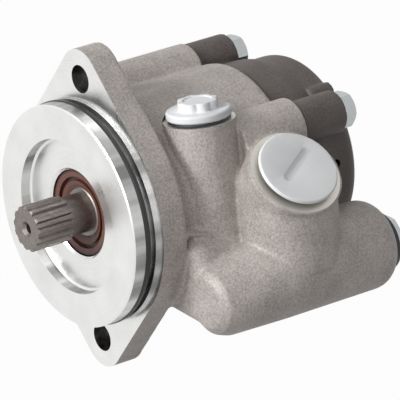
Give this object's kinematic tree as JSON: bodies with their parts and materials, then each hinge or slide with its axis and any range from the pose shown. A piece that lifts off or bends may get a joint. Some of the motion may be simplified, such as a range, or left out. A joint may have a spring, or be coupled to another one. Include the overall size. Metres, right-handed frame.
{
  "type": "power steering pump",
  "caption": "Vane pump for a hydraulic power steering system, with a two-bolt flange, a splined drive shaft, a flow control valve and plugged ports.",
  "frame": {"origin": "centre of the pilot, in the plane of the mounting flange's face", "axes": "-Y out along the drive shaft, +Z towards the upper flange ear, +X towards the valve and the ports"},
  "size_m": [0.1251, 0.1343, 0.1304],
  "materials": {
    "cast_housing": "sand cast, light grey, faces machined bright",
    "cast_cover": "sand cast, dark brown grey",
    "zinc_steel": "bright zinc plated",
    "dark_steel": "ground and hardened",
    "bearing_steel": "ground",
    "spring_steel": "dark spring steel",
    "bronze": "plain bearing bronze",
    "black_rubber": "smooth",
    "brown_rubber": "smooth",
    "blue_rubber": "smooth, blue black",
    "white_plastic": "moulded, semi matt",
    "clear_plastic": "milky, slightly translucent"
  },
  "bodies": {
    "housing": {"front_housing": "cast_housing", "rear_cover": "cast_cover", "cover_bolts": "zinc_steel", "cover_bolt_washers": "zinc_steel", "pilot_o_ring": "black_rubber", "cover_o_ring": "black_rubber", "shaft_seal": "brown_rubber", "seal_garter_spring": "spring_steel", "bearing_outer_ring": "bearing_steel", "bearing_circlip": "spring_steel", "rear_bush": "bronze", "cam_ring": "bearing_steel", "front_side_plate": "bearing_steel", "rear_side_plate": "bearing_steel", "dowel_pins": "bearing_steel", "plate_spring": "spring_steel", "valve_spring": "spring_steel", "valve_plug": "zinc_steel", "valve_plug_ring": "blue_rubber", "pressure_port_cap": "white_plastic", "pressure_cap_ring": "blue_rubber", "suction_port_cap": "clear_plastic", "suction_cap_ring": "blue_rubber"},
    "shaft": {"drive_shaft": "dark_steel", "bearing_inner_ring": "bearing_steel", "shaft_circlip": "spring_steel", "rotor": "bearing_steel"},
    "ball_set": {"bearing_balls": "bearing_steel", "bearing_cage": "spring_steel"},
    "spool": {"valve_spool": "bearing_steel"},
    "vane_1": {"vane_1": "bearing_steel"},
    "vane_2": {"vane_2": "bearing_steel"},
    "vane_3": {"vane_3": "bearing_steel"},
    "vane_4": {"vane_4": "bearing_steel"},
    "vane_5": {"vane_5": "bearing_steel"},
    "vane_6": {"vane_6": "bearing_steel"},
    "vane_7": {"vane_7": "bearing_steel"},
    "vane_8": {"vane_8": "bearing_steel"},
    "vane_9": {"vane_9": "bearing_steel"},
    "vane_10": {"vane_10": "bearing_steel"}
  },
  "joints": [
    {"name": "shaft_turn", "type": "hinge", "parent": "housing", "child": "shaft", "pos_m": [0, 0, 0], "axis": [0, 1, 0], "continuous": true},
    {"name": "bearing_turn", "type": "hinge", "parent": "housing", "child": "ball_set", "pos_m": [0, 0, 0], "axis": [0, 1, 0], "continuous": true},
    {"name": "spool_slide", "type": "slide", "parent": "housing", "child": "spool", "axis": [0, 1, 0], "range_m": [-0.012, 0], "stiffness_N_per_m": 1500, "springref_m": 0.006, "deforming": ["valve_spring"]},
    {"name": "vane_1_slide", "type": "slide", "parent": "shaft", "child": "vane_1", "axis": [0, 0, 1], "range_m": [-0.0026, 0]},
    {"name": "vane_2_slide", "type": "slide", "parent": "shaft", "child": "vane_2", "axis": [0.5878, 0, 0.809], "range_m": [-0.0026, 0]},
    {"name": "vane_3_slide", "type": "slide", "parent": "shaft", "child": "vane_3", "axis": [0.9511, 0, 0.309], "range_m": [-0.0026, 0]},
    {"name": "vane_4_slide", "type": "slide", "parent": "shaft", "child": "vane_4", "axis": [0.9511, 0, -0.309], "range_m": [-0.0026, 0]},
    {"name": "vane_5_slide", "type": "slide", "parent": "shaft", "child": "vane_5", "axis": [0.5878, 0, -0.809], "range_m": [-0.0026, 0]},
    {"name": "vane_6_slide", "type": "slide", "parent": "shaft", "child": "vane_6", "axis": [0, 0, -1], "range_m": [-0.0026, 0]},
    {"name": "vane_7_slide", "type": "slide", "parent": "shaft", "child": "vane_7", "axis": [-0.5878, 0, -0.809], "range_m": [-0.0026, 0]},
    {"name": "vane_8_slide", "type": "slide", "parent": "shaft", "child": "vane_8", "axis": [-0.9511, 0, -0.309], "range_m": [-0.0026, 0]},
    {"name": "vane_9_slide", "type": "slide", "parent": "shaft", "child": "vane_9", "axis": [-0.9511, 0, 0.309], "range_m": [-0.0026, 0]},
    {"name": "vane_10_slide", "type": "slide", "parent": "shaft", "child": "vane_10", "axis": [-0.5878, 0, 0.809], "range_m": [-0.0026, 0]}
  ],
  "couplings": [
    {"joint": "bearing_turn", "follows": "shaft_turn", "ratio": 0.409}
  ]
}
